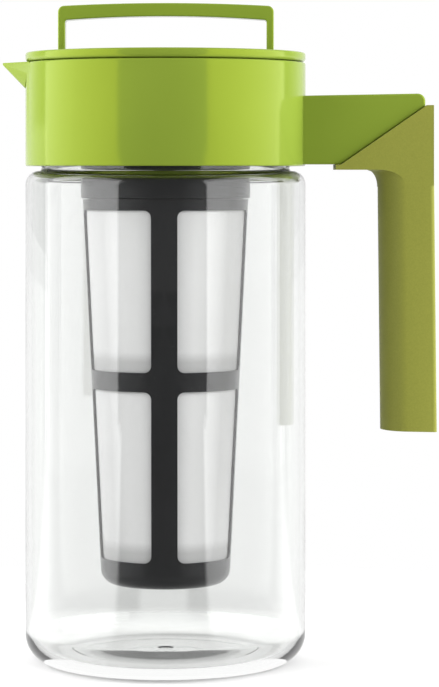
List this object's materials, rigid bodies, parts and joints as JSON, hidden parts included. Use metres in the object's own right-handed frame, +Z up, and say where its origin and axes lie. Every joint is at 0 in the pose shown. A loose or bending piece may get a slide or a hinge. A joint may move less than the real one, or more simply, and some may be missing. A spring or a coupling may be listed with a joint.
{
  "type": "iced tea maker",
  "caption": "Clear pitcher with a green spouted collar, side handle, lid with folding handle and a hanging mesh tea basket.",
  "frame": {"origin": "centre of the jug's flat underside", "axes": "+Z up along the jug's axis, +X towards the side handle, -X towards the spout; the lid handle's pivot runs along X and it folds towards -Y"},
  "size_m": [0.1729, 0.112, 0.2638],
  "materials": {
    "clear_plastic": "clear moulded plastic, polished",
    "pale_silicone": "soft pale silicone",
    "green_plastic": "yellow-green moulded plastic, satin gloss",
    "olive_rubber": "matt olive soft-touch rubber",
    "pin_steel": "ground stainless steel",
    "dark_plastic": "dark grey moulded plastic",
    "white_mesh": "fine off-white nylon mesh"
  },
  "bodies": {
    "pitcher": {"jug_body": "clear_plastic", "neck_seal": "pale_silicone", "collar": "green_plastic", "grip_sleeve": "olive_rubber"},
    "lid": {"lid_cover": "green_plastic", "pivot_pin_left": "pin_steel", "pivot_pin_right": "pin_steel", "lid_gasket": "pale_silicone"},
    "lid_handle": {"bail": "green_plastic"},
    "seal_plug": {"lid_plug": "green_plastic"},
    "basket": {"infuser_ring": "dark_plastic", "infuser_frame": "dark_plastic", "mesh_upper_1": "white_mesh", "mesh_upper_2": "white_mesh", "mesh_upper_3": "white_mesh", "mesh_upper_4": "white_mesh", "mesh_lower_1": "white_mesh", "mesh_lower_2": "white_mesh", "mesh_lower_3": "white_mesh", "mesh_lower_4": "white_mesh"}
  },
  "joints": [
    {"name": "lid_lift", "type": "slide", "parent": "pitcher", "child": "lid", "axis": [0, 0, 1], "range_m": [0, 0.215]},
    {"name": "bail_fold", "type": "hinge", "parent": "lid", "child": "lid_handle", "pos_m": [0, 0.0105, 0.2375], "axis": [1, 0, 0], "range_deg": [0, 90]},
    {"name": "plug_draw", "type": "slide", "parent": "lid", "child": "seal_plug", "axis": [0, 0, 1], "range_m": [0, 0.0012], "deforming": ["lid_gasket"]},
    {"name": "infuser_twist", "type": "hinge", "parent": "seal_plug", "child": "basket", "pos_m": [0, 0, 0.2046], "axis": [0, 0, 1], "range_deg": [-45, 0]}
  ],
  "couplings": [
    {"joint": "bail_fold", "follows": "plug_draw", "rad_per_m": 1309}
  ]
}
